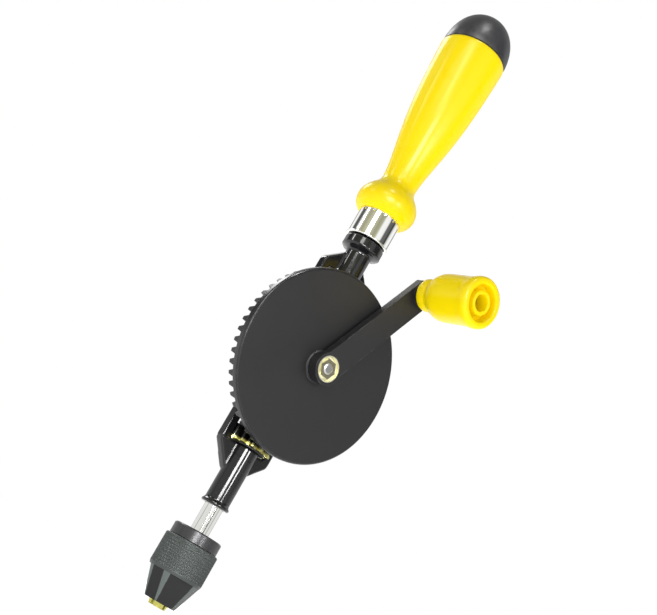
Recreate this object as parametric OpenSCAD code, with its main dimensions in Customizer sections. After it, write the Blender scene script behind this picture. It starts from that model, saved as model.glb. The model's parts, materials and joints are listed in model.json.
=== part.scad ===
// Two-pinion hand drill with a three-jaw chuck.
// The tips of the jaws are at the origin, the spindle runs up +Z to the handle,
// and the crank side of the wheel faces -Y.

/* [Layout] */
// Height of the wheel axle above the jaw tips
axle_z = 122; // [121:0.5:123]
// Angle of the crank arm from straight up, towards +X
crank_angle = 25.6; // [0:0.1:45]
// Radius of the knob's circle round the axle
crank_radius = 63.5; // [61:0.1:64]

/* [Gears] */
// Teeth on the drive wheel, an even number
wheel_teeth = 56; // [56:2:56]
// Teeth on each pinion
pinion_teeth = 12; // [12:1:12]
// Radius of the front face of the wheel
wheel_radius = 44; // [43.5:0.1:45]
// Place of the wheel's front face
wheel_face_y = -15.9; // [-16.5:0.1:-15.5]
// Outer radius of the ring of wheel teeth
tooth_ring_outer = 42.8; // [42:0.1:43]
// Inner radius of the ring of wheel teeth
tooth_ring_inner = 38.6; // [38:0.1:39]
// Plane of the wheel's tooth tips
tooth_tip_y = -8.1; // [-8.2:0.05:-8]
// Plane of the wheel's tooth roots
tooth_root_y = -11.1; // [-11.4:0.05:-11.1]
// Width of a wheel tooth space at the tips
space_tip_w = 3.4; // [3.3:0.05:3.5]
// Width of a wheel tooth space at the root
space_root_w = 1.7; // [1.6:0.05:1.8]
// Tip radius of a pinion
pinion_tip_r = 10.5; // [10.3:0.05:10.5]
// Root radius of a pinion
pinion_root_r = 7.4; // [7.2:0.05:7.5]

/* [Frame] */
// Half width of the frame window's legs, outside
frame_half_w = 15.2; // [15:0.1:16]
// Half width of the window
window_half_w = 11.2; // [11:0.1:11.4]
// Front of the frame's legs
frame_front_y = 0.2; // [-1:0.1:0.4]
// Back of the frame's legs
frame_back_y = 4.4; // [4.2:0.1:6]
// Radius of the spindle tube
tube_r = 5.8; // [5.6:0.1:6]
// Radius of the neck under the collar
neck_r = 6.2; // [6:0.1:6.6]
// Radius of the collar under the ferrule
collar_r = 9.7; // [9.4:0.1:10]

/* [Handle] */
// Outer radius of the ferrule
ferrule_r = 10.3; // [10.2:0.1:10.5]
// Height of the ferrule
ferrule_h = 14.3; // [13:0.1:15]
// Height of the yellow grip above the ferrule
grip_h = 98.7; // [98:0.1:100]
// Radius of the end cap
cap_r = 17; // [16.5:0.1:17]
// Height of the end cap's dome
cap_h = 22.3; // [21:0.1:24]

/* [Crank] */
// Width of the crank arm
arm_w = 12.5; // [12:0.1:13]
// Thickness of the crank arm
arm_t = 4.1; // [4:0.1:4.2]
// Reach of the arm's square end from the axle
arm_reach = 67.6; // [67:0.1:68.5]
// Overall length of the knob
knob_l = 35; // [34.5:0.5:36]
// Radius of the knob's broad end
knob_r = 11.8; // [11.5:0.1:12]

/* [Chuck] */
// Radius of the knurled sleeve
sleeve_r = 12.5; // [12.4:0.1:12.8]
// Radius of the nose at its tip
nose_r = 7.6; // [7.5:0.1:7.8]
// Turn of the nose's flats from the first jaw
flat_turn = 14; // [0:1:30]
// Radius of the smooth rear ring
rear_ring_r = 11.3; // [11:0.1:12]
// Angle between a jaw and the spindle axis
jaw_angle = 16; // [16:0.5:16]
// Radius of a jaw rod
jaw_r = 2.2; // [2.15:0.05:2.2]
// Radius of the shank that the jaws hold as drawn
shank_r = 1.75; // [1.7:0.05:1.8]

/* [Spindle] */
// Radius of the spindle in the tube
spindle_r = 4.35; // [4.3:0.05:4.4]
// Radius of the spindle's end in its upper bearing
spindle_end_r = 2.5; // [2.4:0.05:2.6]
// Radius of the wheel's axle stud
stud_r = 4; // [3.9:0.05:4]

/* [Hidden] */
$fn = 96;
running_gap = 0.06;
// Distance kept between parts that turn past each other without touching
free_gap = 0.3;
// How far a cutting shape runs past what it cuts
over = 1;

// Heights above the axle of the frame's features; the window is symmetrical
window_end = 45.4;
web_half_h = 10;
corner_end = 47.8;
gusset_end = 58.4;
tube_bottom = -74.1;
collar_bottom = 59.6;
collar_top = 65.5;
boss_r = 9;
boss_front_y = -7;
boss_back_y = 7.5;
bearing_boss_r = 5;
bearing_floor = 5.5;
tang_r = 4;
tang_bottom = 52;
tang_top = 148;
idler_top = 50;

// Pinion places, from the axle
pinion_in = 37.6;
pinion_out = 44.6;
hub_end = 31;
pinion_hub_r = 6.3;
washer_t = 0.6;
idler_r = 2.6;

// The wheel's hub and the parts in front of it
hub_r = 9;
front_boss_r = 7;
arm_back_y = wheel_face_y - 2.6;
arm_front_y = arm_back_y - arm_t;
square_seat = 9;
cup_floor_y = arm_back_y - 1.2;
cup_back_y = cup_floor_y - free_gap;
cup_floor_t = 0.5;
cup_r = 5.95;
recess_r = 6.25;
thread_r = 2.5;
nut_flats = 8;

// Knob
arm_end_boss_h = 2;
knob_base_y = arm_front_y - arm_end_boss_h - 0.35;
knob_end_y = knob_base_y - knob_l;
knob_pin_r = 3;
knob_x = crank_radius * sin(crank_angle);
knob_z = axle_z + crank_radius * cos(crank_angle);

// Chuck heights above the jaw tips
nose_z = 2;
nose_end_z = 15.7;
sleeve_end_z = 29.5;
ring_bottom_z = sleeve_end_z + free_gap;
ring_top_z = 35;
jaw_foot_r = 1.96;
jaw_apex_r = 1.2;
jaw_end_z = 16;
shank_bore_r = 3.3;
nut_bottom_z = 11.45;
nut_top_z = 14.65;
nut_r = 8.9;
barrel_z = 16.9;
spindle_bottom_z = 22;

// Handle
ferrule_wall = 0.9;
ferrule_z = axle_z + collar_top;
grip_z = ferrule_z + ferrule_h;
cap_z = grip_z + grip_h;

// ---- shared shapes ----

function unit(v) = v / norm(v);
function turn_of(v) = atan2(v.y, v.x);
function wrap(angle) = angle > 180 ? angle - 360 : angle < -180 ? angle + 360 : angle;

// Arc that rounds corner b of the path a, b, c
function corner_arc(a, b, c, radius, steps) =
    let (u = unit(a - b), v = unit(c - b), half = acos(u * v) / 2,
         centre = b + unit(u + v) * radius / sin(half),
         start = turn_of(b + u * radius / tan(half) - centre),
         sweep = wrap(turn_of(b + v * radius / tan(half) - centre) - start))
    [for (i = [0:steps]) let (a = start + sweep * i / steps) centre + radius * [cos(a), sin(a)]];

function rounded(points, radius, steps = 6) =
    let (n = len(points), p = points)
    [for (i = [0:n - 1]) each corner_arc(p[(i + n - 1) % n], p[i], p[(i + 1) % n], radius, steps)];

// Smooth curve through control points, a few steps to each span
function span_point(p, i, t) =
    let (n = len(p), a = p[max(i - 1, 0)], b = p[i], c = p[i + 1], d = p[min(i + 2, n - 1)])
    0.5 * (2 * b + (c - a) * t + (2 * a - 5 * b + 4 * c - d) * t * t + (3 * b - a - 3 * c + d) * t * t * t);
function smooth(p, steps = 3) =
    [for (i = [0:len(p) - 2], s = [0:steps - 1]) span_point(p, i, s / steps), p[len(p) - 1]];

// Cylinder and turned shape along +Y
module rod_y(r, from, to) {
    translate([0, from, 0]) rotate([-90, 0, 0]) cylinder(r = r, h = to - from);
}
module turned_y(points) {
    rotate([-90, 0, 0]) rotate_extrude() polygon(points);
}
module turned(points) {
    rotate_extrude() polygon(points);
}
module rod(r, from, to) {
    translate([0, 0, from]) cylinder(r = r, h = to - from);
}
// Plate drawn in X and Z, running from one Y to another
module plate_y(points, from, to) {
    translate([0, to, 0]) rotate([90, 0, 0]) linear_extrude(to - from) polygon(points);
}
module at_axle() {
    translate([0, 0, axle_z]) children();
}
module at_knob() {
    translate([knob_x, 0, knob_z]) children();
}

// ---- frame and handle ----

module frame_plate() {
    shoulder_x = 5;
    shoulder_z = gusset_end - 1.5;
    corner_r = 3;
    outline = [[frame_half_w, -corner_end], [frame_half_w, corner_end], [shoulder_x, shoulder_z],
               [-shoulder_x, shoulder_z], [-frame_half_w, corner_end],
               [-frame_half_w, -corner_end], [-shoulder_x, -gusset_end], [shoulder_x, -gusset_end]];
    plate_y(rounded(outline, corner_r), frame_front_y, frame_back_y);
}

module frame_window(from, to) {
    w = window_half_w;
    corner_r = 2;
    plate_y(rounded([[-w, from], [w, from], [w, to], [-w, to]], corner_r), -neck_r - over, neck_r + over);
}

module frame_collar() {
    edge = 1.6;
    bevel = 0.8;
    mid = collar_bottom + edge;
    turned(concat([[0, collar_bottom - bevel], [neck_r, collar_bottom - bevel]],
                  [for (a = [-90:15:0]) [collar_r - edge + edge * cos(a), mid + edge * sin(a)]],
                  [[collar_r, collar_top - bevel], [collar_r - bevel, collar_top], [0, collar_top]]));
}

module tube_flange() {
    flange_r = 6.8;
    bevel = 0.5;
    rim_top = tube_bottom + 1.2;
    fillet_top = tube_bottom + 2.2;
    turned([[0, tube_bottom], [flange_r - bevel, tube_bottom], [flange_r, tube_bottom + bevel],
            [flange_r, rim_top], [tube_r, fillet_top], [0, fillet_top]]);
}

module frame() {
    color("#1c1c1f") at_axle() difference() {
        union() {
            difference() {
                union() {
                    frame_plate();
                    rod(tube_r, tube_bottom + over, -window_end);
                    rod(neck_r, window_end, collar_bottom);
                }
                frame_window(-window_end, -web_half_h);
                frame_window(web_half_h, window_end);
            }
            rod_y(boss_r, boss_front_y, boss_back_y);
            rod(bearing_boss_r, -web_half_h, web_half_h);
            tube_flange();
            frame_collar();
        }
        rod_y(stud_r, boss_front_y - over, boss_back_y + over);
        rod(spindle_r + running_gap, tube_bottom - over, -window_end + over);
        rod(spindle_end_r + running_gap, -web_half_h - over, -bearing_floor);
        rod(idler_r, bearing_floor, web_half_h + over);
        rod(idler_r, window_end - over, idler_top);
        rod(tang_r, tang_bottom, collar_top + over);
    }
}

module tang() {
    color("#8d9094") at_axle() rod(tang_r, tang_bottom, tang_top);
}

module ferrule() {
    bead = 0.35;
    bead_r = ferrule_r + bead;
    lip_r = 8;
    color("#d9dadb") translate([0, 0, ferrule_z])
        turned([[lip_r, 0], [ferrule_r + bead * 0.6, 0], [bead_r, 0.5], [bead_r, 1.1],
                [ferrule_r, 1.7], [ferrule_r, ferrule_h], [ferrule_r - ferrule_wall, ferrule_h],
                [ferrule_r - ferrule_wall, ferrule_wall], [lip_r, ferrule_wall]]);
}

module grip() {
    spigot_r = ferrule_r - ferrule_wall;
    spigot_bottom = ferrule_wall - ferrule_h;
    base_r = 11.4;
    rim_r = 16.7;
    side = smooth([[12.2, 0.4], [14.1, 2.6], [15, 6], [14.5, 9.4], [12.6, 12.8], [10.2, 15.6], [8.9, 18.6],
                   [8.95, 22], [9.5, 27], [10.8, 34.5], [12.4, 43], [14, 53], [15.3, 64], [16.3, 76],
                   [16.9, 88], [17.1, 97.8]]);
    cap_recess_r = 12;
    cap_recess_h = 8;
    tang_hole = tang_top + axle_z - grip_z;
    color("#ffe100") translate([0, 0, grip_z]) difference() {
        turned(concat([[0, spigot_bottom], [spigot_r, spigot_bottom], [spigot_r, 0], [base_r, 0]],
                      side, [[rim_r, grip_h], [0, grip_h]]));
        rod(tang_r, spigot_bottom - over, tang_hole);
        rod(cap_recess_r, grip_h - cap_recess_h, grip_h + over);
    }
}

module end_cap() {
    dome_power = 2.2;
    spigot_r = 12;
    spigot_h = 7.5;
    steps = 14;
    dome = [for (i = [0:steps]) let (a = 90 * i / steps)
            [cap_r * pow(cos(a), 2 / dome_power), cap_h * pow(sin(a), 2 / dome_power)]];
    color("#2c2c2f") translate([0, 0, cap_z])
        turned(concat([[0, -spigot_h], [spigot_r, -spigot_h], [spigot_r, 0]],
                      [for (i = [0:steps - 1]) dome[i]], [[0, cap_h]]));
}

// ---- wheel axle ----

module axle_stud() {
    stud_end_y = 12.4;
    bevel = 0.6;
    tip_y = arm_front_y - 0.1;
    color("#c9cbcd") at_axle()
        turned_y([[0, tip_y], [thread_r - bevel, tip_y], [thread_r, tip_y + bevel], [thread_r, cup_back_y],
                  [stud_r, cup_back_y], [stud_r, stud_end_y - bevel], [stud_r - bevel, stud_end_y],
                  [0, stud_end_y]]);
}

module hex_nut_y(flats, bore, from, to) {
    difference() {
        translate([0, from, 0]) rotate([-90, 0, 0]) cylinder(d = flats / cos(30), h = to - from, $fn = 6);
        rod_y(bore, from - over, to + over);
    }
}

module back_nut() {
    flats = 13;
    thickness = 4;
    color("#b9bbbd") at_axle() hex_nut_y(flats, stud_r, boss_back_y, boss_back_y + thickness);
}

module hub_washer() {
    washer_r = boss_r - 0.6;
    color("#b9bbbd") at_axle() difference() {
        rod_y(washer_r, boss_front_y - washer_t, boss_front_y);
        rod_y(stud_r, boss_front_y - washer_t - over, boss_front_y + over);
    }
}

module cup_washer() {
    rim_y = arm_front_y + 0.1;
    floor_front = cup_back_y - cup_floor_t;
    wall = 0.4;
    bevel = 0.5;
    color("#e6e6e0") at_axle()
        turned_y([[thread_r, cup_back_y], [cup_r - bevel, cup_back_y], [cup_r, cup_back_y - bevel],
                  [cup_r, rim_y], [cup_r - wall, rim_y], [cup_r - wall, floor_front - bevel / 2],
                  [cup_r - wall - bevel / 2, floor_front], [thread_r, floor_front]]);
}

module front_nut() {
    nut_front = arm_front_y + 0.4;
    color("#d0d2d4") at_axle() hex_nut_y(nut_flats, thread_r, nut_front, cup_back_y - cup_floor_t);
}

// ---- drive wheel and crank ----

module tooth_space() {
    slope = (space_tip_w - space_root_w) / 2 / (tooth_tip_y - tooth_root_y);
    top_w = space_tip_w / 2 + over * slope;
    cut_l = tooth_ring_outer - tooth_ring_inner + 2 * over;
    translate([0, 0, tooth_ring_inner - over]) linear_extrude(cut_l)
        polygon([[-space_root_w / 2, tooth_root_y], [space_root_w / 2, tooth_root_y],
                 [top_w, tooth_tip_y + over], [-top_w, tooth_tip_y + over]]);
}

module drive_wheel() {
    web_back_y = wheel_face_y + 2.7;
    rim_back_y = wheel_face_y + 2.9;
    hub_back_y = boss_front_y - washer_t - free_gap;
    rim_rounding = 1.1;
    foot_h = 0.6;
    foot_r = front_boss_r + 0.5;
    bore_r = stud_r + running_gap;
    rim = corner_arc([wheel_radius, rim_back_y], [wheel_radius, wheel_face_y], [foot_r, wheel_face_y],
                     rim_rounding, 5);
    seat_y = (cup_floor_y + arm_back_y) / 2;
    color("#3a3a3d") at_axle() difference() {
        union() {
            turned_y(concat([[bore_r, hub_back_y], [hub_r, hub_back_y], [hub_r, web_back_y],
                             [tooth_ring_inner, web_back_y], [tooth_ring_inner, tooth_tip_y],
                             [tooth_ring_outer, tooth_tip_y], [tooth_ring_outer, rim_back_y],
                             [wheel_radius, rim_back_y]],
                            rim,
                            [[foot_r, wheel_face_y], [front_boss_r, wheel_face_y - foot_h],
                             [front_boss_r, arm_back_y], [bore_r, arm_back_y]]));
            difference() {
                translate([0, seat_y, 0]) rotate([0, crank_angle, 0])
                    cube([square_seat, arm_back_y - cup_floor_y, square_seat], center = true);
                rod_y(bore_r, cup_floor_y - over, arm_back_y + over);
            }
        }
        for (i = [0:wheel_teeth - 1]) rotate([0, i * 360 / wheel_teeth, 0]) tooth_space();
    }
}

module crank_arm() {
    eye_r = 7.5;
    corner = 1.5;
    half = arm_w / 2;
    bar = [[-half, 0], [half, 0], [half, arm_reach - corner], [half - corner, arm_reach],
           [corner - half, arm_reach], [-half, arm_reach - corner]];
    seat = square_seat + 0.04;
    end_boss_r = 6.2;
    end_boss_y = arm_front_y - arm_end_boss_h;
    color("#242426") at_axle() rotate([0, crank_angle, 0]) difference() {
        union() {
            plate_y(bar, arm_front_y, arm_back_y);
            rod_y(eye_r, arm_front_y, arm_back_y);
            translate([0, 0, crank_radius]) rod_y(end_boss_r, end_boss_y, arm_back_y);
        }
        translate([0, arm_back_y, 0]) cube([seat, 3 * arm_t, seat], center = true);
        rod_y(recess_r, arm_front_y - over, cup_floor_y);
        translate([0, 0, crank_radius]) rod_y(knob_pin_r, end_boss_y - over, arm_back_y + over);
    }
}

module knob_pin() {
    rivet_r = 4.6;
    rivet_h = 1.2;
    head_r = 3.55;
    head_y = knob_end_y + 9;
    bevel = 0.5;
    color("#33363a") at_knob()
        turned_y([[0, head_y - 2 * bevel], [head_r - bevel, head_y - 2 * bevel],
                  [head_r, head_y - bevel], [head_r, head_y], [knob_pin_r, head_y],
                  [knob_pin_r, arm_back_y], [rivet_r, arm_back_y],
                  [rivet_r - bevel, arm_back_y + rivet_h - free_gap], [0, arm_back_y + rivet_h]]);
}

module knob() {
    y0 = knob_base_y;
    y1 = knob_end_y;
    shaft_hole = knob_pin_r + running_gap;
    head_hole = 3.75;
    seat_y = y1 + 9 + free_gap;
    boss_outer = 6;
    moat_outer = 8.4;
    moat_y = y1 + 5;
    body = smooth([[7.2, y0 - 4.6], [8, y0 - 6], [9.7, y0 - 8.4], [10.9, y0 - 11.6], [11.2, y0 - 15],
                   [11.2, y0 - 21], [11.3, y0 - 27.5], [knob_r, y0 - 31.5], [knob_r, y1 + 1.6]]);
    color("#ffe100") at_knob()
        turned_y(concat([[shaft_hole, y0], [7.1, y0], [7.7, y0 - 0.7], [7.7, y0 - 3.2], [7.2, y0 - 3.9]],
                        body,
                        [[knob_r - 0.5, y1 + 0.5], [knob_r - 1.5, y1], [moat_outer + 0.5, y1],
                         [moat_outer, y1 + 0.5], [moat_outer - 0.3, moat_y], [boss_outer, moat_y],
                         [boss_outer - 0.2, y1 + 1.1], [boss_outer - 0.6, y1 + 0.8],
                         [head_hole + 0.3, y1 + 0.8],
                         [head_hole, y1 + 1.1], [head_hole, seat_y], [shaft_hole, seat_y]]));
}

// ---- pinions and spindle ----

// Outline of a pinion with one tooth pointing to -Y; half widths at root, pitch and tip
function pinion_outline() =
    let (pitch_r = 9,
         rows = [[pinion_root_r, 1.35], [pitch_r, 1], [pinion_tip_r - 0.25, 0.5], [pinion_tip_r, 0.3]],
         sides = concat([for (row = rows) [row[0], -row[1]]], [for (i = [len(rows) - 1:-1:0]) rows[i]]))
    [for (k = [0:pinion_teeth - 1], s = sides)
     let (a = k * 360 / pinion_teeth - 90 + s[1] / s[0] * 180 / PI) s[0] * [cos(a), sin(a)]];

module pinion(bore, hub_to) {
    difference() {
        union() {
            translate([0, 0, pinion_in]) linear_extrude(pinion_out - pinion_in) polygon(pinion_outline());
            rod(pinion_hub_r, hub_to, pinion_in + over);
        }
        rod(bore, hub_to - over, pinion_out + over);
    }
}

// Pin through a pinion's hub, of a given length
module cross_pin(length) {
    pin_r = 1;
    translate([0, 0, (hub_end + pinion_in) / 2]) rotate([0, 90, 0])
        cylinder(r = pin_r, h = length, center = true);
}

module idler_shaft() {
    color("#b9bbbd") at_axle() rod(idler_r, bearing_floor, idler_top);
}

module idler_clip() {
    clip_r = 5;
    clip_t = 1.3;
    top = hub_end - free_gap;
    color("#8d9094") at_axle() difference() {
        rod(clip_r, top - clip_t, top);
        rod(idler_r, top - clip_t - over, top + over);
    }
}

module pinion_washers() {
    washer_r = 8;
    inner = window_end - washer_t;
    color("#33363a") at_axle() {
        difference() {
            rod(washer_r, inner, window_end);
            rod(idler_r, inner - over, window_end + over);
        }
        difference() {
            rod(washer_r, -window_end, -inner);
            rod(spindle_r + running_gap, -window_end - over, over - inner);
        }
    }
}

module idler_pinion() {
    color("#33363a") at_axle() pinion(idler_r + running_gap, hub_end);
}

module spindle_pinion() {
    color("#b8a640") at_axle() mirror([0, 0, 1]) difference() {
        pinion(spindle_r, hub_end);
        cross_pin(2 * pinion_hub_r + over);
    }
}

module pinion_pin() {
    color("#8d9094") at_axle() mirror([0, 0, 1]) cross_pin(2 * pinion_hub_r);
}

module spindle() {
    bottom = spindle_bottom_z;
    step_z = axle_z - hub_end;
    top_z = axle_z - bearing_floor - free_gap;
    bevel = 0.5;
    color("#d9dadb") difference() {
        turned([[0, bottom], [spindle_r, bottom], [spindle_r, step_z - bevel], [spindle_r - bevel, step_z],
                [spindle_end_r, step_z], [spindle_end_r, top_z - bevel], [spindle_end_r - bevel, top_z],
                [0, top_z]]);
        at_axle() mirror([0, 0, 1]) cross_pin(2 * pinion_hub_r + over);
    }
}

// ---- chuck ----

// Puts a rod along a jaw's inclined centre line, measured by height
module along_jaw(from_z, to_z, r) {
    tilt = jaw_angle;
    translate([jaw_foot_r, 0, 0]) rotate([0, tilt, 0])
        translate([0, 0, from_z / cos(tilt)]) cylinder(r = r, h = (to_z - from_z) / cos(tilt));
}

module chuck_body() {
    nose_body_r = 5.05;
    nose_top_r = 8.1;
    barrel_r = 10.55;
    groove_bottom = 11.2;
    groove_r = 7.3;
    hub_r = 8;
    bore_end_z = 21.5;
    shank_end_z = 20;
    jaw_hole_r = jaw_r + 0.05;
    color("#3d4041") difference() {
        turned([[0, nose_z + free_gap], [nose_body_r, nose_z + free_gap], [nose_top_r, groove_bottom],
                [groove_r, groove_bottom], [groove_r, barrel_z], [barrel_r, barrel_z],
                [barrel_r, sleeve_end_z - free_gap], [hub_r, sleeve_end_z - free_gap], [hub_r, ring_top_z],
                [0, ring_top_z]]);
        rod(shank_bore_r, 0, shank_end_z);
        rod(spindle_r, spindle_bottom_z, ring_top_z + over);
        for (i = [0:2]) rotate([0, 0, 120 * i]) along_jaw(-3, bore_end_z, jaw_hole_r);
    }
}

module chuck_rear_ring() {
    bevel = 0.5;
    bore_r = 8;
    color("#3d4041")
        turned([[bore_r, ring_bottom_z], [rear_ring_r, ring_bottom_z], [rear_ring_r, ring_top_z - bevel],
                [rear_ring_r - bevel, ring_top_z], [bore_r, ring_top_z]]);
}

// Milled flat on the nose: apothem at the tip, slope, direction
module nose_flat(apothem, slope, angle) {
    flat_l = 13;
    cutter_w = 24;
    cutter_t = 8;
    lead_in = 3;
    rotate([0, 0, angle]) translate([apothem, 0, nose_z]) rotate([0, slope, 0])
        translate([0, -cutter_w / 2, -lead_in]) cube([cutter_t, cutter_w, flat_l + lead_in]);
}

module chuck_sleeve() {
    mouth_r = 5.35;
    bore_at_groove = 8.4;
    groove_z = 11.2;
    barrel_bore = 10.9;
    bevel = 0.4;
    nut_entry_r = 9.6;
    wide_apothem = 6.5;
    wide_slope = 17.7;
    narrow_apothem = 7;
    narrow_slope = 20.3;
    color("#474a49") difference() {
        turned([[mouth_r, nose_z], [nose_r - 0.2, nose_z], [nose_r, nose_z + 0.3], [sleeve_r, nose_end_z],
                [sleeve_r, sleeve_end_z - bevel], [sleeve_r - bevel, sleeve_end_z],
                [barrel_bore, sleeve_end_z],
                [barrel_bore, barrel_z - free_gap], [nut_entry_r, barrel_z - free_gap],
                [nut_entry_r, nut_top_z], [nut_r, nut_top_z], [nut_r, nut_bottom_z],
                [bore_at_groove + 0.1, nut_bottom_z], [bore_at_groove, groove_z]]);
        for (i = [0:2]) {
            nose_flat(wide_apothem, wide_slope, flat_turn + 120 * i);
            nose_flat(narrow_apothem, narrow_slope, flat_turn + 120 * i + 60);
        }
    }
}

module chuck_nut() {
    cone_gap = 0.12;
    inner = function (z) jaw_foot_r + z * tan(jaw_angle) + jaw_r / cos(jaw_angle) + cone_gap;
    color("#8d9094")
        turned([[inner(nut_bottom_z), nut_bottom_z], [nut_r, nut_bottom_z], [nut_r, nut_top_z],
                [inner(nut_top_z), nut_top_z]]);
}

module jaw(angle) {
    reach = 12;
    slab_h = 30;
    color("#c2b98f") rotate([0, 0, angle]) difference() {
        intersection() {
            along_jaw(-2, jaw_end_z, jaw_r);
            linear_extrude(slab_h) polygon([[jaw_apex_r, 0], [jaw_apex_r + reach, -reach * sqrt(3)],
                                            [jaw_apex_r + reach, reach * sqrt(3)]]);
        }
        rod(shank_r, -over, slab_h);
    }
}

module jaw_1() { jaw(0); }
module jaw_2() { jaw(120); }
module jaw_3() { jaw(240); }

frame();
tang();
ferrule();
grip();
end_cap();
axle_stud();
back_nut();
hub_washer();
cup_washer();
front_nut();
idler_shaft();
idler_clip();
pinion_washers();
drive_wheel();
crank_arm();
knob_pin();
knob();
idler_pinion();
spindle();
spindle_pinion();
pinion_pin();
chuck_body();
chuck_rear_ring();
chuck_sleeve();
chuck_nut();
jaw_1();
jaw_2();
jaw_3();
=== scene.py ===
import json
import math

import bmesh
import bpy
import numpy as np
from mathutils import Matrix, Vector


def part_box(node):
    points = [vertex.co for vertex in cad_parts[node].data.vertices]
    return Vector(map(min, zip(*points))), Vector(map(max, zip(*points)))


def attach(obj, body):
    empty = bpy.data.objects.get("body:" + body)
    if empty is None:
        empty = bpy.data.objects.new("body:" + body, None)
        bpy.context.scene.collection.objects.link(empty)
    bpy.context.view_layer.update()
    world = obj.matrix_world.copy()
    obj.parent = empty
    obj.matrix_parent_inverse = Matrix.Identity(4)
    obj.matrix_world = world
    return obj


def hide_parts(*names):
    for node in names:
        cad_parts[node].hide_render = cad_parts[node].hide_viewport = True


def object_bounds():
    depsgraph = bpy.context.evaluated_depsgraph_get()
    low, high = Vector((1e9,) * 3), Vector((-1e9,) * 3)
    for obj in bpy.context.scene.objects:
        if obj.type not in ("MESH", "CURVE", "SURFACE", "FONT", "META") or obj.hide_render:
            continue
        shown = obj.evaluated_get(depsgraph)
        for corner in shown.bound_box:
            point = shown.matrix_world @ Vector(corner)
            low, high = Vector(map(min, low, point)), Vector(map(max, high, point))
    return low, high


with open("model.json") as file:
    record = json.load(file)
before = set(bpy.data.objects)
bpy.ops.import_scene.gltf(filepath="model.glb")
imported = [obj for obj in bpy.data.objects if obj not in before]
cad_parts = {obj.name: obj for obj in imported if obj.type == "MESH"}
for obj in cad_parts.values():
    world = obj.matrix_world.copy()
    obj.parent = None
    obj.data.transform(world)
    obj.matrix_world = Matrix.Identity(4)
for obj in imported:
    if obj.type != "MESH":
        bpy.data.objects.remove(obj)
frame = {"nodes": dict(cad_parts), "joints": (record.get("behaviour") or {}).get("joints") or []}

cad_low, cad_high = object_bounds()
scene = bpy.context.scene
MM = 0.001

# ---- places read from the frame ----

JOINTS = {joint["name"]: joint for joint in frame["joints"]}
AXLE = Vector((0, 0, JOINTS["wheel_turn"]["pos_m"][2]))
KNOB_AXIS = Vector(JOINTS["knob_turn"]["pos_m"])


def low(node):
    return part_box(node)[0]


def high(node):
    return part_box(node)[1]


# ---- camera, floor and light ----

CAMERA_AZIMUTH = -36.87
CAMERA_ELEVATION = -12.98
CAMERA_DISTANCE = 0.5085
CAMERA_ROLL = -29.91
CAMERA_TILT_DOWN = 3.19
LENS = 61.6
FLOOR_GAP = 0.2 * MM
# Metres from the floor's middle over which its glow rises to full white
GLOW_DISTANCE = (0.03, 0.3)
ROOM_STRENGTH = 1.1
ROOM_STRENGTH_ON_MATT = 0.87


def aim_camera():
    azimuth, elevation = math.radians(CAMERA_AZIMUTH), math.radians(CAMERA_ELEVATION)
    back = Vector((math.sin(azimuth) * math.cos(elevation), -math.cos(azimuth) * math.cos(elevation),
                   math.sin(elevation)))
    right = (-back).cross(Vector((0, 0, 1))).normalized()
    down = (-back).cross(right)
    forward = (-back - math.tan(math.radians(CAMERA_TILT_DOWN)) * down).normalized()
    right = forward.cross(Vector((0, 0, 1))).normalized()
    up = right.cross(forward)
    turn = Matrix.Rotation(math.radians(CAMERA_ROLL), 3, forward)
    right, up = turn @ right, turn @ up
    camera = bpy.data.objects.new("camera", bpy.data.cameras.new("camera"))
    camera.data.lens = LENS
    camera.data.sensor_width = 36
    camera.data.sensor_fit = "HORIZONTAL"
    camera.data.clip_start = 0.01
    camera.matrix_world = Matrix((
        (right.x, up.x, -forward.x, 0), (right.y, up.y, -forward.y, 0),
        (right.z, up.z, -forward.z, 0), (0, 0, 0, 1)))
    camera.location = AXLE + back * CAMERA_DISTANCE
    scene.collection.objects.link(camera)
    scene.camera = camera


def soft_box(name, azimuth, elevation, size, radiance, glossy):
    """A lamp at a bearing and a height from the camera side, with its size and its brightness.

    A glossy lamp is seen only by shiny surfaces, any other lamp only by matt ones.
    """
    bearing = math.radians(CAMERA_SIDE + azimuth)
    rise = math.radians(elevation)
    level = math.cos(rise)
    direction = Vector((math.cos(bearing) * level, math.sin(bearing) * level, math.sin(rise)))
    light = bpy.data.lights.new(name, "AREA")
    light.shape = "RECTANGLE"
    light.size, light.size_y = size
    light.energy = radiance * math.pi * size[0] * size[1]
    lamp = bpy.data.objects.new(name, light)
    lamp.location = AXLE + direction * LAMP_DISTANCE
    lamp.rotation_euler = (-direction).to_track_quat("-Z", "Y").to_euler()
    lamp.visible_camera = False
    lamp.visible_glossy = glossy
    lamp.visible_diffuse = not glossy
    scene.collection.objects.link(lamp)


# The walls round the drill: degrees to the right of the camera, brightness, how olive
ROOM = ((-180, 1.0, 0), (-164, 1.0, 0), (-158, 0.3, 0), (-146, 0.4, 0), (-140, 1.0, 0), (-124, 1.0, 0),
        (-115, 0.12, 0), (-96, 0.1, 0), (-88, 0.9, 0), (-78, 0.7, 0.5), (-60, 0.36, 1), (-34, 0.6, 1),
        (-22, 0.3, 1), (-6, 0.5, 1), (10, 0.34, 1), (24, 0.45, 1), (34, 1.0, 0), (56, 0.95, 0),
        (64, 0.14, 0), (84, 0.12, 0), (88, 0.05, 0), (95, 0.05, 0), (101, 0.6, 0), (116, 1.0, 0),
        (134, 1.0, 0), (140, 0.3, 0), (154, 0.45, 0), (160, 1.0, 0), (180, 1.0, 0))
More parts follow.
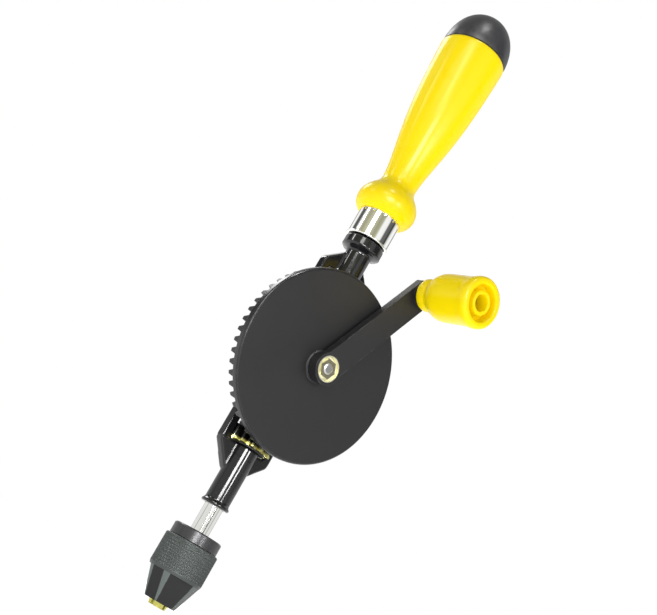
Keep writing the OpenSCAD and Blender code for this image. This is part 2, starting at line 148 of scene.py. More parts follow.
# The same near the floor, which the spindle and the lower tube show
LOW_ROOM = ((-180, 0.8, 0), (-160, 0.8, 0), (-152, 0.25, 0), (-144, 0.8, 0), (-84, 0.8, 0),
            (-76, 0.3, 0.3), (-68, 0.8, 0), (-14, 0.75, 0), (-7, 0.3, 1), (1, 0.8, 0), (28, 0.8, 0),
            (37, 0.12, 0.5), (43, 0.12, 0.5), (50, 0.8, 0), (72, 0.7, 0), (78, 0.3, 0), (86, 0.8, 0),
            (136, 0.8, 0), (146, 0.25, 0), (156, 0.8, 0), (180, 0.8, 0))
# Heights, as the sine of the angle above level, over which one band gives way to the next
LOW_BAND = (0.12, 0.2)
CEILING_BAND = (0.55, 0.95)
CEILING = (0.45, 0.45, 0.44, 1)
OLIVE_GREEN_LOSS, OLIVE_BLUE_LOSS = 0.01, 0.3
CAMERA_SIDE = 233.13
LAMP_DISTANCE = 0.9
# name, degrees to the right of the camera, degrees up, size in metres, brightness, glossy
LAMPS = (("tube_front", 0, 9, (0.30, 0.26), 38, True),
         ("tube_strip", 33, 8, (0.12, 0.22), 42, True),
         ("grip_soft", -20, 32, (0.26, 0.30), 12, True),
         ("high", -12, 64, (0.09, 0.09), 80, True),
         ("arm_side", -130, 37, (0.26, 0.26), 8, True),
         ("grip_left", -78, 27, (0.06, 0.2), 20, True),
         ("fill", 48, 12, (0.9, 0.9), 0.85, False))


def room_ramp(tree, share, stops_of_room):
    """Colour ramp once round the drill."""
    curve = node(tree, "ValToRGB", {"Fac": share})
    stops = curve.color_ramp.elements
    while len(stops) > 1:
        stops.remove(stops[-1])
    for degrees, level, olive in stops_of_room:
        stop = stops.new((degrees + 180) / 360)
        green = level * (1 - OLIVE_GREEN_LOSS * olive)
        stop.color = (level, green, level * (1 - OLIVE_BLUE_LOSS * olive), 1)
    stops.remove(stops[0])
    return curve.outputs["Color"]


def light_studio():
    world = bpy.data.worlds.new("studio")
    scene.world = world
    world.use_nodes = True
    tree = world.node_tree
    tree.nodes.clear()
    sweep = node(tree, "Background", {"Color": (1, 1, 1, 1), "Strength": 1.0})
    direction = node(tree, "TexCoord").outputs["Generated"]
    turned = node(tree, "VectorRotate", {"Vector": direction, "Angle": -math.radians(CAMERA_SIDE)},
                  rotation_type="Z_AXIS")
    parts = node(tree, "SeparateXYZ", {0: turned.outputs[0]})
    bearing = node(tree, "Math", {0: parts.outputs["Y"], 1: parts.outputs["X"]}, operation="ARCTAN2")
    share = share_between(tree, bearing.outputs[0], -math.pi, math.pi)
    walls = room_ramp(tree, share, ROOM)
    low_walls = room_ramp(tree, share, LOW_ROOM)
    walls = blend_colours(tree, share_between(tree, parts.outputs["Z"], *LOW_BAND), low_walls, walls)
    colour = blend_colours(tree, share_between(tree, parts.outputs["Z"], *CEILING_BAND), walls, CEILING)
    path = node(tree, "LightPath")
    strength = node(tree, "Mix", {0: path.outputs["Is Diffuse Ray"], 2: ROOM_STRENGTH,
                                  3: ROOM_STRENGTH_ON_MATT})
    room = node(tree, "Background", {"Color": colour, "Strength": strength.outputs[0]})
    mix = node(tree, "MixShader", {0: path.outputs["Is Camera Ray"], 1: room.outputs[0],
                                   2: sweep.outputs[0]})
    node(tree, "OutputWorld", {"Surface": mix.outputs[0]})
    for lamp in LAMPS:
        soft_box(*lamp)


def lay_floor():
    size = 3.0
    corners = [(x * size, y * size, 0) for x, y in ((-1, -1), (1, -1), (1, 1), (-1, 1))]
    mesh = bpy.data.meshes.new("floor")
    mesh.from_pydata(corners, [], [(0, 1, 2, 3)])
    floor = bpy.data.objects.new("floor", mesh)
    floor.location.z = cad_low.z - FLOOR_GAP
    scene.collection.objects.link(floor)
    finish, tree, shader = new_finish("pale_floor", Roughness=0.8)
    coord = node(tree, "TexCoord").outputs["Object"]
    distance = node(tree, "VectorMath", {0: coord}, operation="LENGTH")
    far = share_between(tree, distance.outputs["Value"], *GLOW_DISTANCE)
    speckle = node(tree, "TexNoise", {"Vector": coord, "Scale": 900.0})
    pale = blend_colours(tree, speckle.outputs["Fac"], (0.90, 0.90, 0.90, 1), (0.95, 0.95, 0.95, 1))
    tree.links.new(pale, shader.inputs["Base Color"])
    glow = blend_colours(tree, far, (0.7, 0.7, 0.7, 1), (1, 1, 1, 1))
    tree.links.new(glow, shader.inputs["Emission Color"])
    shader.inputs["Emission Strength"].default_value = 1.0
    mesh.materials.append(finish)


# ---- node groups shared by the finishes ----

GROUPS = {}


def new_group(name, inputs, outputs):
    group = bpy.data.node_groups.new(name, "ShaderNodeTree")
    for label, kind, value in inputs:
        socket = group.interface.new_socket(name=label, in_out="INPUT", socket_type=kind)
        socket.default_value = value
    for label, kind in outputs:
        group.interface.new_socket(name=label, in_out="OUTPUT", socket_type=kind)
    entry = group.nodes.new("NodeGroupInput")
    leave = group.nodes.new("NodeGroupOutput")
    GROUPS[name] = group
    return group, entry.outputs, leave.inputs


def node(tree, kind, links=None, **settings):
    """Adds a node; links maps an input to a value or to another node's output."""
    made = tree.nodes.new("ShaderNode" + kind)
    for key, value in settings.items():
        setattr(made, key, value)
    for key, value in (links or {}).items():
        if isinstance(value, bpy.types.NodeSocket):
            tree.links.new(value, made.inputs[key])
        else:
            made.inputs[key].default_value = value
    return made


def share_between(tree, value, start, end):
    """0 at start and 1 at end, held level outside them."""
    return node(tree, "MapRange", {"Value": value, "From Min": start, "From Max": end}).outputs[0]


def build_grain():
    """Fine surface grain: a value from 0 to 1 and the normal that goes with it."""
    group, given, out = new_group(
        "grain",
        [("Scale", "NodeSocketFloat", 900), ("Detail", "NodeSocketFloat", 3),
         ("Height", "NodeSocketFloat", 0.02 * MM)],
        [("Value", "NodeSocketFloat"), ("Normal", "NodeSocketVector")])
    coord = node(group, "TexCoord").outputs["Object"]
    noise = node(group, "TexNoise", {"Vector": coord, "Scale": given["Scale"], "Detail": given["Detail"]})
    bump = node(group, "Bump", {"Height": noise.outputs["Fac"], "Distance": given["Height"]})
    group.links.new(noise.outputs["Fac"], out["Value"])
    group.links.new(bump.outputs["Normal"], out["Normal"])


def build_wear():
    """Mask of the rubbed places along edges, broken up by noise."""
    group, given, out = new_group(
        "edge_wear",
        [("Width", "NodeSocketFloat", 0.3 * MM), ("Amount", "NodeSocketFloat", 1.0),
         ("Patch Scale", "NodeSocketFloat", 220)],
        [("Mask", "NodeSocketFloat")])
    coord = node(group, "TexCoord").outputs["Object"]
    rounded = node(group, "Bevel", {"Radius": given["Width"]}, samples=4)
    true_normal = node(group, "NewGeometry").outputs["Normal"]
    dot = node(group, "VectorMath", {0: rounded.outputs["Normal"], 1: true_normal}, operation="DOT_PRODUCT")
    turned_away = share_between(group, dot.outputs["Value"], 0.995, 0.9)
    patches = node(group, "TexNoise", {"Vector": coord, "Scale": given["Patch Scale"], "Detail": 4.0})
    chosen = share_between(group, patches.outputs["Fac"], 0.45, 0.65)
    worn = node(group, "Math", {0: turned_away, 1: chosen}, operation="MULTIPLY")
    scaled = node(group, "Math", {0: worn.outputs[0], 1: given["Amount"]},
                  operation="MULTIPLY", use_clamp=True)
    group.links.new(scaled.outputs[0], out["Mask"])


def build_smudge():
    """Broad handling marks, from 0 to 1, mostly near 0.5."""
    group, given, out = new_group(
        "smudge",
        [("Scale", "NodeSocketFloat", 60), ("Contrast", "NodeSocketFloat", 0.5)],
        [("Value", "NodeSocketFloat")])
    coord = node(group, "TexCoord").outputs["Object"]
    broad = node(group, "TexNoise", {"Vector": coord, "Scale": given["Scale"], "Detail": 5.0,
                                     "Roughness": 0.6})
    centred = node(group, "Math", {0: broad.outputs["Fac"], 1: 0.5}, operation="SUBTRACT")
    scaled = node(group, "Math", {0: centred.outputs[0], 1: given["Contrast"]}, operation="MULTIPLY")
    value = node(group, "Math", {0: scaled.outputs[0], 1: 0.5}, operation="ADD", use_clamp=True)
    group.links.new(value.outputs[0], out["Value"])


def build_turning():
    """Fine lathe rings along an axis: a value from 0 to 1 and the normal that goes with it."""
    group, given, out = new_group(
        "turning",
        [("Axis", "NodeSocketVector", (0, 0, 1)), ("Pitch Scale", "NodeSocketFloat", 2500),
         ("Height", "NodeSocketFloat", 0.004 * MM)],
        [("Value", "NodeSocketFloat"), ("Normal", "NodeSocketVector")])
    coord = node(group, "TexCoord").outputs["Object"]
    along = node(group, "VectorMath", {0: coord, 1: given["Axis"]}, operation="DOT_PRODUCT")
    scaled = node(group, "Math", {0: along.outputs["Value"], 1: given["Pitch Scale"]}, operation="MULTIPLY")
    rings = node(group, "TexNoise", {"W": scaled.outputs[0], "Scale": 1.0, "Detail": 2.0},
                 noise_dimensions="1D")
    bump = node(group, "Bump", {"Height": rings.outputs["Fac"], "Distance": given["Height"]})
    group.links.new(rings.outputs["Fac"], out["Value"])
    group.links.new(bump.outputs["Normal"], out["Normal"])


def place_group(tree, name, links=None):
    made = tree.nodes.new("ShaderNodeGroup")
    made.node_tree = GROUPS[name]
    for key, value in (links or {}).items():
        if isinstance(value, bpy.types.NodeSocket):
            tree.links.new(value, made.inputs[key])
        else:
            made.inputs[key].default_value = value
    return made


# ---- finishes ----

def new_finish(name, **shader_values):
    """A material with its Principled shader's plain values set; returns material, tree and shader."""
    material = bpy.data.materials.new(name)
    material.use_nodes = True
    shader = material.node_tree.nodes["Principled BSDF"]
    for key, value in shader_values.items():
        shader.inputs[key.replace("_", " ")].default_value = value
    return material, material.node_tree, shader


def blend_colours(tree, factor, first, second):
    mix = node(tree, "Mix", data_type="RGBA")
    for index, value in ((0, factor), (6, first), (7, second)):
        if isinstance(value, bpy.types.NodeSocket):
            tree.links.new(value, mix.inputs[index])
        else:
            mix.inputs[index].default_value = value
    return mix.outputs[2]


def spread(tree, value, lowest, highest):
    """Maps 0..1 to a range of roughness."""
    return node(tree, "MapRange", {"Value": value, "To Min": lowest, "To Max": highest}).outputs[0]


def black_enamel():
    material, tree, shader = new_finish("black_enamel", Coat_Weight=0.3, Coat_Roughness=0.05,
                                        Specular_IOR_Level=0.3)
    smudge = place_group(tree, "smudge", {"Scale": 70, "Contrast": 0.8})
    grain = place_group(tree, "grain", {"Scale": 260, "Detail": 2, "Height": 0.05 * MM})
    wear = place_group(tree, "edge_wear", {"Width": 0.25 * MM, "Amount": 0.35, "Patch Scale": 300})
    colour = blend_colours(tree, smudge.outputs["Value"], (0.008, 0.008, 0.009, 1), (0.016, 0.016, 0.018, 1))
    colour = blend_colours(tree, wear.outputs["Mask"], colour, (0.12, 0.12, 0.12, 1))
    tree.links.new(colour, shader.inputs["Base Color"])
    tree.links.new(spread(tree, smudge.outputs["Value"], 0.08, 0.2), shader.inputs["Roughness"])
    tree.links.new(grain.outputs["Normal"], shader.inputs["Normal"])
    return material


def satin_black(name, lightness=0.0145, rim_r=None):
    """Matt black paint; beyond rim_r from the axle it is glossier, where hands have polished the rim."""
    material, tree, shader = new_finish(name, Specular_IOR_Level=0.36)
    smudge = place_group(tree, "smudge", {"Scale": 45, "Contrast": 0.7})
    grain = place_group(tree, "grain", {"Scale": 1500, "Detail": 4, "Height": 0.012 * MM})
    wear = place_group(tree, "edge_wear", {"Width": 0.3 * MM, "Amount": 0.8, "Patch Scale": 260})
    dark = (lightness * 0.85, lightness * 0.85, lightness * 0.98, 1)
    light = (lightness * 1.15, lightness * 1.15, lightness * 1.3, 1)
    colour = blend_colours(tree, smudge.outputs["Value"], dark, light)
    colour = blend_colours(tree, wear.outputs["Mask"], colour, (0.3, 0.3, 0.3, 1))
    tree.links.new(colour, shader.inputs["Base Color"])
    rough = spread(tree, smudge.outputs["Value"], 0.4, 0.5)
    if rim_r:
        place = node(tree, "VectorMath", {0: node(tree, "TexCoord").outputs["Object"], 1: (1, 0, 1)},
                     operation="MULTIPLY")
        off = node(tree, "VectorMath", {0: place.outputs[0], 1: (0, 0, AXLE.z)}, operation="DISTANCE")
        rim = share_between(tree, off.outputs["Value"], rim_r, rim_r + 0.3 * MM)
        rough = node(tree, "Mix", {0: rim, 2: rough, 3: 0.24}).outputs[0]
    tree.links.new(rough, shader.inputs["Roughness"])
    tree.links.new(grain.outputs["Normal"], shader.inputs["Normal"])
    return material


def yellow_plastic():
    material, tree, shader = new_finish("yellow_plastic", Specular_IOR_Level=0.18, Subsurface_Weight=0.1,
                                        Subsurface_Radius=(0.9, 0.5, 0.05), Subsurface_Scale=1.2 * MM)
    smudge = place_group(tree, "smudge", {"Scale": 40, "Contrast": 0.8})
    grain = place_group(tree, "grain", {"Scale": 620, "Detail": 2, "Height": 0.035 * MM})
    colour = blend_colours(tree, smudge.outputs["Value"], (0.97, 0.73, 0.0, 1), (0.99, 0.77, 0.0, 1))
    tree.links.new(colour, shader.inputs["Base Color"])
    tree.links.new(spread(tree, smudge.outputs["Value"], 0.22, 0.34), shader.inputs["Roughness"])
    tree.links.new(grain.outputs["Normal"], shader.inputs["Normal"])
    return material


def black_plastic():
    material, tree, shader = new_finish("black_plastic", Specular_IOR_Level=0.4)
    smudge = place_group(tree, "smudge", {"Scale": 420, "Contrast": 1.6})
    grain = place_group(tree, "grain", {"Scale": 900, "Detail": 3, "Height": 0.02 * MM})
    colour = blend_colours(tree, smudge.outputs["Value"], (0.018, 0.018, 0.022, 1), (0.036, 0.036, 0.042, 1))
    tree.links.new(colour, shader.inputs["Base Color"])
    tree.links.new(spread(tree, smudge.outputs["Value"], 0.3, 0.46), shader.inputs["Roughness"])
    tree.links.new(grain.outputs["Normal"], shader.inputs["Normal"])
    return material


def metal(name, colour, second, rough, axis=(0, 0, 1), ring_height=0.002 * MM, wear=0.0, scale=90):
    """Bare or plated metal with turning marks; rough is the pair of roughness limits."""
    material, tree, shader = new_finish(name, Metallic=1.0)
    smudge = place_group(tree, "smudge", {"Scale": scale, "Contrast": 1.0})
    turning = place_group(tree, "turning", {"Axis": axis, "Height": ring_height})
    shade = blend_colours(tree, smudge.outputs["Value"], (*colour, 1), (*second, 1))
    if wear:
        mask = place_group(tree, "edge_wear", {"Width": 0.25 * MM, "Amount": wear})
        shade = blend_colours(tree, mask.outputs["Mask"], shade, (0.45, 0.45, 0.44, 1))
    tree.links.new(shade, shader.inputs["Base Color"])
    tree.links.new(spread(tree, smudge.outputs["Value"], *rough), shader.inputs["Roughness"])
    tree.links.new(turning.outputs["Normal"], shader.inputs["Normal"])
    return material


def zinc_with_painted_shade():
    """Yellow plate that shows at the pinion's outer end; the rest of the teeth is painted near black, a
    painted shade for the shadow and dark reflections inside the frame.
    """
    material = metal("yellow_zinc", (0.82, 0.78, 0.34), (0.62, 0.58, 0.2), (0.25, 0.4))
    tree = material.node_tree
    shader = tree.nodes["Principled BSDF"]
    plate = shader.inputs["Base Color"].links[0].from_socket
    height = node(tree, "SeparateXYZ", {0: node(tree, "TexCoord").outputs["Object"]}).outputs["Z"]
    blotch = place_group(tree, "smudge", {"Scale": 500, "Contrast": 1.0}).outputs["Value"]
    edge = node(tree, "Math", {0: blotch, 1: 1.2 * MM, 2: height}, operation="MULTIPLY_ADD").outputs[0]
    end_z = low("spindle_pinion").z
    # Painted shade: above their lit ends the teeth are coloured near black, as if in shadow
    painted_shade = share_between(tree, edge, end_z + 1.3 * MM, end_z + 2.2 * MM)
    colour = blend_colours(tree, painted_shade, plate, (0.03, 0.03, 0.028, 1))
    tree.links.new(colour, shader.inputs["Base Color"])
    return material


# Value of the on_land attribute off the nose; on the nose it is 0 on the flats and 1 on the lands
OFF_THE_NOSE = 0.45


def black_oxide(name, dark, light, rough=(0.42, 0.58), grain_height=0.02 * MM, wear=0.7, lands=False):
    material, tree, shader = new_finish(name, Metallic=0.75)
    smudge = place_group(tree, "smudge", {"Scale": 160, "Contrast": 0.45})
    grain = place_group(tree, "grain", {"Scale": 2600, "Detail": 4, "Height": grain_height})
    rubbed = place_group(tree, "edge_wear", {"Width": 0.2 * MM, "Amount": wear, "Patch Scale": 400})
    colour = blend_colours(tree, smudge.outputs["Value"], (*dark, 1), (*light, 1))
    if lands:
        land = node(tree, "Attribute", attribute_name="on_land").outputs["Fac"]
        flat = blend_colours(tree, land, (0.028, 0.028, 0.03, 1), (0.13, 0.15, 0.145, 1))
        nose = node(tree, "Math", {0: land, 1: OFF_THE_NOSE}, operation="SUBTRACT")
        on_nose = node(tree, "Math", {0: nose.outputs[0]}, operation="ABSOLUTE")
        colour = blend_colours(tree, share_between(tree, on_nose.outputs[0], 0.1, 0.3), colour, flat)
    colour = blend_colours(tree, rubbed.outputs["Mask"], colour, (0.35, 0.36, 0.35, 1))
    tree.links.new(colour, shader.inputs["Base Color"])
    tree.links.new(spread(tree, smudge.outputs["Value"], *rough), shader.inputs["Roughness"])
    tree.links.new(grain.outputs["Normal"], shader.inputs["Normal"])
    return material


# ---- mesh making ----

def curve_through(points, steps):
    """Smooth outline through control points (Catmull-Rom), with some steps to each span."""
    p = np.array(points, float)
    p = np.vstack([p[0], p, p[-1]])
    out = []
    for a, b, c, d in zip(p, p[1:], p[2:], p[3:]):
        for t in np.arange(steps) / steps:
            out.append(0.5 * (2 * b + (c - a) * t + (2 * a - 5 * b + 4 * c - d) * t * t
                              + (3 * b - a - 3 * c + d) * t ** 3))
    out.append(p[-1])
    return [tuple(q) for q in out]


def link_piece(name, mesh, body, material, replaced=()):
    piece = bpy.data.objects.new(name, mesh)
    scene.collection.objects.link(piece)
    mesh.materials.append(material)
    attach(piece, body)
    for cad_node in replaced:
        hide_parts(cad_node)
    return piece


def shade_smooth(mesh, angle=35):
    for face in mesh.polygons:
        face.use_smooth = True
    mesh.set_sharp_from_angle(angle=math.radians(angle))


def ring_mesh(name, rings, closed=True, smooth_angle=35):
    """Quads between rings of points; a ring of one point closes an end. closed joins last ring to first."""
    points, faces, starts = [], [], []
    for ring in rings:
        starts.append(len(points))
        points.extend(ring)
    pairs = list(zip(range(len(rings)), range(1, len(rings))))
    if closed:
        pairs.append((len(rings) - 1, 0))
    for i, j in pairs:
        n, m = len(rings[i]), len(rings[j])
        count = max(n, m)
        for k in range(count):
            k2 = (k + 1) % count
            if n == 1 and m == 1:
                break
            if n == 1:
                faces.append((starts[i], starts[j] + k2, starts[j] + k))
            elif m == 1:
                faces.append((starts[i] + k, starts[i] + k2, starts[j]))
            else:
                faces.append((starts[i] + k, starts[i] + k2, starts[j] + k2, starts[j] + k))
    mesh = bpy.data.meshes.new(name)
    mesh.from_pydata([tuple(q) for q in points], [], faces)
    bm = bmesh.new()
    bm.from_mesh(mesh)
    bmesh.ops.recalc_face_normals(bm, faces=bm.faces)
    bm.to_mesh(mesh)
    bm.free()
    shade_smooth(mesh, smooth_angle)
    return mesh


def turned_rings(outline, segments, centre, axis="z", shape=None):
    """Rings of a turned shape. outline holds (radius, height) in mm; shape can vary the radius by angle."""
    rings = []
    for radius, height in outline:
        if abs(radius) < 1e-6:
            angles = [0.0]
        else:
            angles = np.arange(segments) * 2 * math.pi / segments
        ring = []
        for angle in angles:
            r = shape(radius, height, angle) if shape else radius
            across, side = r * math.cos(angle), r * math.sin(angle)
            offset = (across, side, height) if axis == "z" else (across, height, side)
            ring.append(tuple(centre[i] + offset[i] * MM for i in range(3)))
        rings.append(ring)
    return rings


# ---- yellow grip, cap and ferrule ----

GRIP_SIDE = [(12.2, 0.4), (14.1, 2.6), (15, 6), (14.5, 9.4), (12.6, 12.8), (10.2, 15.6), (8.9, 18.6),
             (8.95, 22), (9.5, 27), (10.8, 34.5), (12.4, 43), (14, 53), (15.3, 64), (16.3, 76),
             (16.9, 88), (17.1, 97.4)]
GRIP_FLUTES = 10
FERRULE_H = 14.3
FERRULE_R = 10.3
CAP_POWER = 2.2


def flute(radius, height, angle):
    """Shallow lengthwise hollows that fade out towards the waist and the cap."""
    fade = min(max((height - 26) / 25, 0), 1) * min(max((95 - height) / 12, 0), 1)
    return radius - 0.22 * fade * (0.5 + 0.5 * math.cos(GRIP_FLUTES * angle)) ** 1.5


def make_grip(yellow):
    top = high("grip").z
    grip_z = Vector((0, 0, high("ferrule").z))
    height = (top - grip_z.z) / MM
    outline = [(9.3, -8), (9.3, 0.05), (11.2, 0.0), (11.8, 0.1)]
    outline += curve_through(GRIP_SIDE, 5)
    outline += [(17.0, height - 0.5), (16.6, height), (12, height), (4, height), (4, -8)]
    mesh = ring_mesh("grip_moulding", turned_rings(outline, 120, grip_z, shape=flute))
    return link_piece("grip_moulding", mesh, "frame", yellow, ["grip"])


def make_cap(black):
    base = Vector((0, 0, high("grip").z))
    radius = (high("end_cap").x - low("end_cap").x) / 2 / MM
    height = (high("end_cap").z - base.z) / MM
    outline = [(12, -4), (12, 0.25), (radius - 0.7, 0.25), (radius - 0.25, 0.5)]
    for i in range(2, 40):
        a = math.pi / 2 * i / 40
        outline.append((radius * math.cos(a) ** (2 / CAP_POWER), height * math.sin(a) ** (2 / CAP_POWER)))
    outline += [(0, height)]
    mesh = ring_mesh("cap_dome", turned_rings(outline, 96, base), closed=False)
    return link_piece("cap_dome", mesh, "frame", black, ["end_cap"])


def make_ferrule(chrome):
    base = Vector((0, 0, low("ferrule").z))
    r, height = FERRULE_R, FERRULE_H
    outline = [(8, 0.15), (r - 0.3, 0)]
    outline += [(r - 0.1 + 0.45 * math.sin(a), 0.55 - 0.5 * math.cos(a)) for a in np.linspace(0.4, 2.8, 8)]
    outline += [(r, 1.5), (r, 2.2), (r, 8), (r, height - 0.25), (r - 0.15, height - 0.05), (r - 0.5, height)]
    outline += [(r - 0.8, height - 0.2), (r - 0.8, 1.0), (8, 0.9)]

    def dimpled(radius, h, angle):
        near_top = math.exp(-((h - height + 1.1) / 0.5) ** 2)
        return radius - 0.25 * near_top * max(math.cos(12 * angle), 0) ** 4 * (radius > 10)

    outline = outline[:13] + [(r, height - d) for d in (2.4, 2.0, 1.6, 1.3, 1.0, 0.7)] + outline[13:]
    mesh = ring_mesh("ferrule_tube", turned_rings(outline, 144, base, shape=dimpled))
    return link_piece("ferrule_tube", mesh, "frame", chrome, ["ferrule"])


SPINDLE_END_R = 2.5
SPINDLE_END_H = 25.2


def make_spindle(chrome):
    """The polished rod, with its step and its reduced upper end."""
    bottom, top = low("spindle").z / MM, high("spindle").z / MM
    r, end_r = (high("spindle").x - low("spindle").x) / 2 / MM, SPINDLE_END_R
    step = top - SPINDLE_END_H
    bevel = 0.5
    outline = [(0, bottom), (r, bottom), (r, bottom + 0.1), (r, bottom + 8), (r, step - 0.6),
               (r, step - bevel), (r - bevel, step), (end_r, step), (end_r, step + 0.1),
               (end_r, top - bevel), (end_r - bevel, top), (0, top)]
    mesh = ring_mesh("spindle_rod", turned_rings(outline, 160, Vector((0, 0, 0))), closed=False)
    return link_piece("spindle_rod", mesh, "spindle", chrome, ["spindle"])


# ---- crank knob ----

def make_knob(yellow):
    face = low("knob").y
    base = (high("knob").y - face) / MM
    centre = Vector((KNOB_AXIS.x, face, KNOB_AXIS.z))
    radius = (high("knob").x - low("knob").x) / 2 / MM
    side = [(7.2, base - 4.6), (8, base - 6), (9.7, base - 8.4), (10.9, base - 11.6), (11.2, base - 15),
            (11.2, base - 21), (11.3, base - 27.5), (radius, base - 31.5), (radius, 1.8)]
    outline = [(3.1, base), (7.0, base), (7.45, base - 0.25), (7.7, base - 0.8), (7.7, base - 3.1),
               (7.45, base - 3.6)]
    outline += curve_through(side, 5)
    outline += [(radius - 0.2, 1.0), (radius - 0.7, 0.35), (radius - 1.5, 0.0), (9.5, 0.0), (8.9, 0.1),
                (8.5, 0.5), (8.35, 1.2), (8.1, 4.8), (7.7, 5.1), (6.3, 5.1), (6.0, 4.8), (5.8, 1.4),
                (5.55, 0.95), (5.0, 0.8), (4.4, 0.8), (4.0, 0.95), (3.8, 1.4), (3.75, 9.3), (3.1, 9.3)]
    mesh = ring_mesh("knob_moulding", turned_rings(outline, 96, centre, axis="y"))
    return link_piece("knob_moulding", mesh, "knob", yellow, ["knob"])


# ---- knurled chuck sleeve ----

NOSE_H = 13.7
NOSE_R = 7.6
FLAT_TOP = 12.4
KNURL_STARTS = 84
KNURL_DEPTH = 0.24
SLEEVE_SEGMENTS = 504
# Bore from the top down: negative radii mark what the flats and the knurl leave alone
SLEEVE_BORE = [(-10.95, 16.6), (-9.6, 16.6), (-9.6, 14.7), (-8.9, 14.65), (-8.9, 11.4), (-8.4, 11.2)]
FLAT_TURN = 14
FLATS = ((6.5, math.tan(math.radians(17.7))), (7.0, math.tan(math.radians(20.3))))


def nose_radius(height, angle, sleeve_r):
    """Outside of the nose and whether the place is left on the cone, between the milled flats."""
    cone = min(NOSE_R + (sleeve_r - NOSE_R) * height / NOSE_H, sleeve_r)
    best = cone
    if height < FLAT_TOP:
        for i in range(6):
            apothem = FLATS[i % 2][0] + height * FLATS[i % 2][1]
            turn = math.cos(angle - math.radians(60 * i + FLAT_TURN))
            if turn > 0.5:
                best = min(best, apothem / turn)
    return best, best > cone - 0.03


def knurl(height, angle, starts, lead):
    """Depth of two crossed sets of grooves, from 0 on the diamonds to 1 in the grooves."""
    waves = [abs(math.sin((angle + side * height / lead) * starts / 2)) for side in (1, -1)]
    return max(0.0, 1 - min(waves) / 0.75)


def make_sleeve(oxide):
    base_z, top_z = low("chuck_sleeve").z / MM, high("chuck_sleeve").z / MM
    sleeve_r = (high("chuck_sleeve").x - low("chuck_sleeve").x) / 2 / MM
    knurl_low, knurl_high = base_z + NOSE_H + 0.2, top_z - 0.6

    def shape(radius, height, angle):
        if radius < 0:
            return -radius
        if height < base_z + NOSE_H:
            return min(radius, nose_radius(height - base_z, angle, sleeve_r)[0])
        if knurl_low < height < knurl_high:
            return radius - KNURL_DEPTH * knurl(height, angle, KNURL_STARTS, sleeve_r)
        return radius

    nose = base_z + NOSE_H
    outline = [(7.3, base_z), (7.55, base_z + 0.25)]
    outline += [(20, h) for h in np.arange(base_z + 0.5, base_z + FLAT_TOP - 0.01, 0.4)]
    outline += [(20, base_z + FLAT_TOP - 0.01), (20, base_z + FLAT_TOP + 0.05), (20, nose - 0.05)]
    outline += [(sleeve_r, h) for h in np.arange(nose + 0.05, top_z - 0.45, 0.14)]
    outline += [(sleeve_r - 0.1, top_z - 0.25), (sleeve_r - 0.4, top_z)]
    outline += [(SLEEVE_BORE[0][0], top_z)] + SLEEVE_BORE + [(-5.4, base_z + 0.1), (-5.6, base_z)]
    rings = turned_rings(outline, SLEEVE_SEGMENTS, Vector((0, 0, 0)), shape=shape)
    mesh = ring_mesh("sleeve_knurled", rings, smooth_angle=24)
    worn = mesh.attributes.new("on_land", "FLOAT", "POINT")
    for vertex, value in zip(mesh.vertices, worn.data):
        x, y, height = vertex.co.x / MM, vertex.co.y / MM, vertex.co.z / MM - base_z
        outside = math.hypot(x, y) > 6.3 + height * 0.3
        if height < FLAT_TOP and outside:
            value.value = float(nose_radius(height, math.atan2(y, x), sleeve_r)[1])
        else:
            value.value = OFF_THE_NOSE
    return link_piece("sleeve_knurled", mesh, "sleeve", oxide, ["chuck_sleeve"])


# ---- cast frame ----

def make_casting(enamel):
    """The frame with the soft corners and fillets of an enamelled casting."""
    source = frame["nodes"]["frame"]
    work = bpy.data.objects.new("casting_work", source.data.copy())
    scene.collection.objects.link(work)
    remesh = work.modifiers.new("remesh", "REMESH")
    remesh.mode = "VOXEL"
    remesh.voxel_size = 0.4 * MM
    smooth = work.modifiers.new("smooth", "SMOOTH")
    smooth.factor = 0.5
    smooth.iterations = 10
    bpy.context.view_layer.update()
    depsgraph = bpy.context.evaluated_depsgraph_get()
    mesh = bpy.data.meshes.new_from_object(work.evaluated_get(depsgraph))
    bpy.data.objects.remove(work)
    mesh.name = "frame_casting"
    mesh.materials.clear()
    true_turned_parts(mesh)
    open_bore(mesh)
    for face in mesh.polygons:
        face.use_smooth = True
    return link_piece("frame_casting", mesh, "frame", enamel, ["frame"])


# Tube, neck and collar: radius, and the heights from the axle between which it holds
TRUE_ROUNDS = ((5.8, -71.5, -50.5), (6.2, 40, 57.5), (9.7, 60.6, 64.6))
SOFTENED_BY = 0.3
# Clear radii of the tube's bore and the spindle's upper bearing, and how far below the axle they begin
TUBE_BORE_R, TUBE_DROP = 4.62 * MM, 40 * MM
BEARING_R, BEARING_DROP = 2.8 * MM, 5 * MM


def true_turned_parts(mesh):
    """Brings the tube, neck and collar back to exact rounds, so that their reflections run straight."""
    for radius, from_z, to_z in TRUE_ROUNDS:
        for vertex in mesh.vertices:
            out = math.hypot(vertex.co.x, vertex.co.y)
            height = (vertex.co.z - AXLE.z) / MM
            if from_z < height < to_z and abs(out / MM - radius) < SOFTENED_BY:
                vertex.co.x *= radius * MM / out
                vertex.co.y *= radius * MM / out


def open_bore(mesh):
    """Keeps the softened tube bore and upper bearing clear of the spindle."""
    for vertex in mesh.vertices:
        radius = math.hypot(vertex.co.x, vertex.co.y)
        if vertex.co.z < AXLE.z - TUBE_DROP and 1e-6 < radius < TUBE_BORE_R:
            vertex.co.x *= TUBE_BORE_R / radius
            vertex.co.y *= TUBE_BORE_R / radius
        elif vertex.co.z < AXLE.z - BEARING_DROP and 1e-6 < radius < BEARING_R:
            vertex.co.x *= BEARING_R / radius
            vertex.co.y *= BEARING_R / radius


# ---- CAD nodes that keep their own shape ----

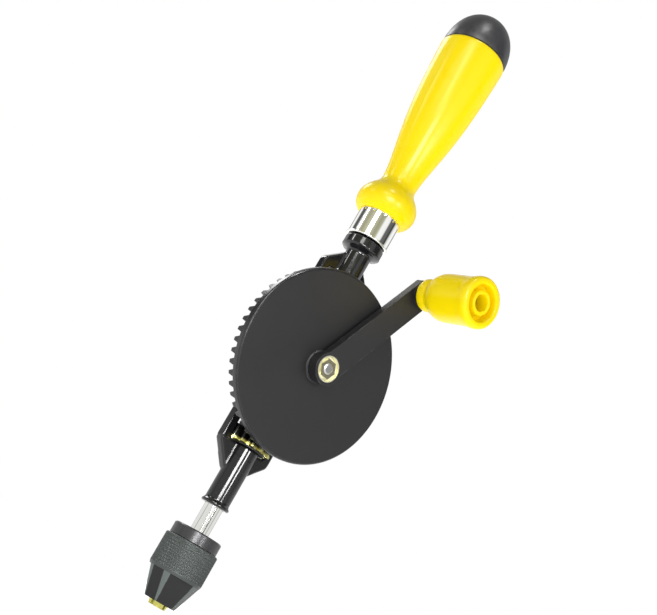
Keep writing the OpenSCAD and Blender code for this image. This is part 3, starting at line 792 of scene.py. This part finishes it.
def dress(names, material, bevel=0.15):
    for name in names:
        part = frame["nodes"][name]
        part.data.materials.clear()
        part.data.materials.append(material)
        if bevel:
            edge = part.modifiers.new("eased_edges", "BEVEL")
            edge.width = bevel * MM
            edge.segments = 2
            edge.limit_method = "ANGLE"
            edge.angle_limit = math.radians(38)
            edge.use_clamp_overlap = True


def main():
    for build in (build_grain, build_wear, build_smudge, build_turning):
        build()
    aim_camera()
    light_studio()
    lay_floor()
    scene.view_settings.view_transform = "Standard"

    enamel = black_enamel()
    yellow = yellow_plastic()
    oxide = black_oxide("ring_oxide", (0.05, 0.05, 0.052), (0.08, 0.08, 0.085), (0.24, 0.3), 0.002 * MM)
    knurled = black_oxide("sleeve_oxide", (0.062, 0.07, 0.068), (0.088, 0.098, 0.095), wear=0.06, lands=True)
    dull = black_oxide("inner_oxide", (0.02, 0.02, 0.021), (0.035, 0.035, 0.036))
    chrome = metal("bright_chrome", (0.88, 0.88, 0.85), (0.8, 0.8, 0.77), (0.04, 0.1),
                   ring_height=0.0001 * MM)
    cream = metal("cup_plate", (0.92, 0.9, 0.74), (0.86, 0.84, 0.62), (0.3, 0.4), (0, 1, 0), 0.0006 * MM)
    # Plated nut; the yellowish tint in its colour is a painted reflection of the yellow knob and grip
    # mirrored in it
    nut_plate_and_painted_reflection = metal("nut_plate_and_painted_reflection", (0.85, 0.82, 0.6), (0.7, 0.66, 0.42), (0.16, 0.26), (0, 1, 0))
    steel = metal("turned_steel", (0.55, 0.55, 0.55), (0.45, 0.45, 0.45), (0.25, 0.4),
                  ring_height=0.003 * MM)
    zinc = zinc_with_painted_shade()
    straw = metal("jaw_steel", (0.70, 0.66, 0.16), (0.45, 0.42, 0.12), (0.2, 0.35))

    make_casting(enamel)
    make_grip(yellow)
    make_cap(black_plastic())
    make_ferrule(chrome)
    make_knob(yellow)
    make_sleeve(knurled)
    dress(["drive_wheel"], satin_black("wheel_paint", rim_r=high("drive_wheel").x - 1.3 * MM), 0.2)
    dress(["crank_arm"], satin_black("arm_paint", 0.016), 0.35)
    dress(["chuck_rear_ring", "chuck_body"], oxide, 0.0)
    make_spindle(chrome)
    dress(["cup_washer"], cream, 0.1)
    dress(["front_nut"], nut_plate_and_painted_reflection, 0.2)
    dress(["axle_stud", "back_nut", "hub_washer", "idler_shaft", "idler_clip", "pinion_pin", "tang",
           "chuck_nut"], steel, 0.1)
    dress(["idler_pinion", "pinion_washers", "knob_pin"], dull, 0.1)
    dress(["spindle_pinion"], zinc, 0.12)
    dress(["jaw_1", "jaw_2", "jaw_3"], straw, 0.1)


main()
